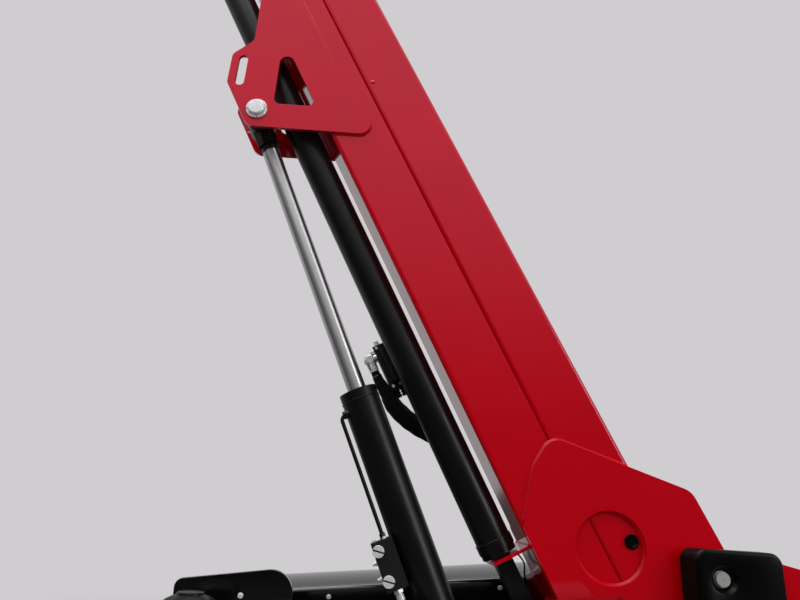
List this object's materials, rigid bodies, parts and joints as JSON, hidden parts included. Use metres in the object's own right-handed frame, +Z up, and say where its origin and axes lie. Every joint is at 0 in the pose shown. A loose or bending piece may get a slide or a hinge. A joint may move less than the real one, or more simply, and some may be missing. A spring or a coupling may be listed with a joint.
{
  "type": "telescopic lift boom on its turret",
  "caption": "Red telescopic lift boom of a tracked boom lift, with its lift cylinder and extension cylinder, on a black-covered turret that slews on a bolted ring.",
  "frame": {"origin": "on the slew axis at the bottom face of the slew ring, where the ring bolts to the chassis", "axes": "+Z up along the slew axis, -X forward in the boom's plane, the way the boom rises, +Y across the turret"},
  "size_m": [2.2334, 0.8, 3.6386],
  "materials": {
    "red_paint": "gloss",
    "black_paint": "gloss",
    "black_moulding": "satin",
    "chrome_rod": "polished",
    "turned_steel": "satin",
    "zinc_steel": "satin",
    "ring_steel": "satin",
    "black_casting": "satin",
    "black_anodised": "matte",
    "hose_textile": "matte",
    "pad_plastic": "matte"
  },
  "bodies": {
    "slew_base": {"slew_ring_fixed": "ring_steel"},
    "turret": {"slew_ring_turning": "ring_steel", "turret_plate": "red_paint", "turret_cheek_near": "red_paint", "turret_cheek_far": "red_paint", "cheek_web": "red_paint", "pivot_housing_near": "black_moulding", "pivot_housing_far": "black_moulding", "boom_foot_pin": "turned_steel", "cylinder_base_pin": "turned_steel", "tail_weight": "black_casting", "turret_cover_near": "black_moulding", "turret_cover_far": "black_moulding", "front_guard": "black_moulding", "filler_cap": "black_moulding"},
    "boom": {"boom_outer_section": "red_paint", "foot_plate_near": "red_paint", "foot_plate_far": "red_paint", "boom_foot_tube": "red_paint", "cylinder_bracket_near": "red_paint", "cylinder_bracket_far": "red_paint", "bracket_pins": "zinc_steel", "boom_collar": "red_paint", "front_slide_pads": "pad_plastic", "extension_barrel": "black_paint", "extension_tab": "red_paint", "extension_lugs": "red_paint", "extension_base_pin": "zinc_steel", "extension_clamp": "red_paint", "manifold_block": "black_anodised", "manifold_bracket": "black_paint", "hose_sleeve": "hose_textile"},
    "boom_extension": {"boom_inner_section": "red_paint", "rear_slide_pads": "pad_plastic", "boom_head": "red_paint", "extension_rod": "chrome_rod", "extension_rod_pin": "zinc_steel"},
    "lift_cylinder": {"lift_barrel": "black_paint", "lift_gland": "black_paint", "valve_block": "black_anodised", "hard_line": "black_paint"},
    "lift_rod": {"lift_rod": "chrome_rod", "rod_eye": "black_paint"}
  },
  "joints": [
    {"name": "slew", "type": "hinge", "parent": "slew_base", "child": "turret", "pos_m": [0, 0, 0.06], "axis": [0, 0, 1], "range_deg": [-180, 180]},
    {"name": "boom_lift", "type": "hinge", "parent": "turret", "child": "boom", "pos_m": [0.455, 0, 0.792], "axis": [0, 1, 0], "range_deg": [-63.3, 1.7]},
    {"name": "boom_extend", "type": "slide", "parent": "boom", "child": "boom_extension", "axis": [-0.4493, 0, 0.8934], "range_m": [0, 2]},
    {"name": "cylinder_swing", "type": "hinge", "parent": "turret", "child": "lift_cylinder", "pos_m": [0, 0, 0.25], "axis": [0, 1, 0], "range_deg": [-66.25, 1.83]},
    {"name": "rod_slide", "type": "slide", "parent": "lift_cylinder", "child": "lift_rod", "axis": [-0.3886, 0, 0.9214], "range_m": [-0.7394, 0.0203]}
  ],
  "couplings": [
    {"joint": "cylinder_swing", "follows": "boom_lift", "ratio": 1.0458},
    {"joint": "rod_slide", "follows": "boom_lift", "m_per_rad": 0.6688}
  ]
}
